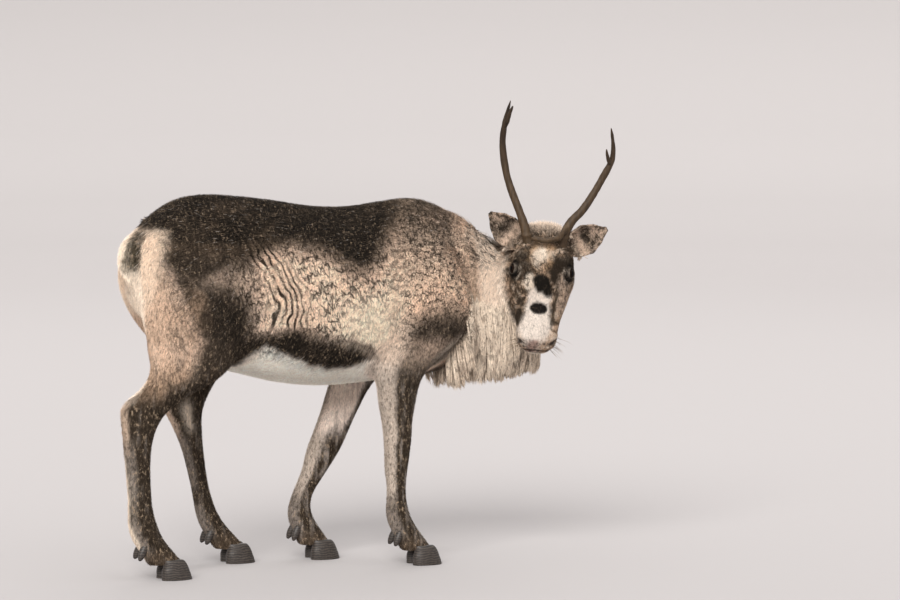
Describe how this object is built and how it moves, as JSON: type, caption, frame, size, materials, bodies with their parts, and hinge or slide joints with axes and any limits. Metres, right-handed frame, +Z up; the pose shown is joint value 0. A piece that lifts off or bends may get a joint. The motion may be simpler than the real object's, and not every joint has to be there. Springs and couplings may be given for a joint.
{
  "type": "reindeer",
  "caption": "Life-size standing reindeer with long throat hair, cupped ears, slim forked antlers and cloven hooves, its head turned to its right.",
  "frame": {"origin": "on the floor, in the middle of the bounding box seen from above", "axes": "+X forward along the trunk, +Y to the animal's left, +Z up"},
  "size_m": [1.3068, 0.4392, 1.1898],
  "materials": {
    "coat": "matt hair",
    "pale_coat": "matt long hair",
    "face_coat": "matt short hair",
    "dark_coat": "matt short hair",
    "antler": "dull bone, rubbed smooth",
    "hoof": "satin horn",
    "eye": "wet gloss"
  },
  "bodies": {
    "root": {"antler_left_beam": "antler", "antler_left_brow_tine": "antler", "antler_left_crown_tine": "antler", "antler_right_beam": "antler", "antler_right_crown_tine": "antler", "ear_left": "face_coat", "ear_right": "face_coat", "eye_left": "eye", "eye_right": "eye", "fore_left_cannon": "dark_coat", "fore_left_claw_inner": "hoof", "fore_left_claw_outer": "hoof", "fore_left_dewclaw_inner": "hoof", "fore_left_dewclaw_outer": "hoof", "fore_left_forearm": "coat", "fore_left_shoulder": "coat", "fore_right_cannon": "dark_coat", "fore_right_claw_inner": "hoof", "fore_right_claw_outer": "hoof", "fore_right_dewclaw_inner": "hoof", "fore_right_dewclaw_outer": "hoof", "fore_right_forearm": "coat", "fore_right_shoulder": "coat", "head": "face_coat", "hind_left_cannon": "dark_coat", "hind_left_claw_inner": "hoof", "hind_left_claw_outer": "hoof", "hind_left_dewclaw_inner": "hoof", "hind_left_dewclaw_outer": "hoof", "hind_left_gaskin": "coat", "hind_left_thigh": "coat", "hind_right_cannon": "dark_coat", "hind_right_claw_inner": "hoof", "hind_right_claw_outer": "hoof", "hind_right_dewclaw_inner": "hoof", "hind_right_dewclaw_outer": "hoof", "hind_right_gaskin": "coat", "hind_right_thigh": "coat", "neck": "pale_coat", "tail": "pale_coat", "torso": "coat"}
  },
  "joints": []
}
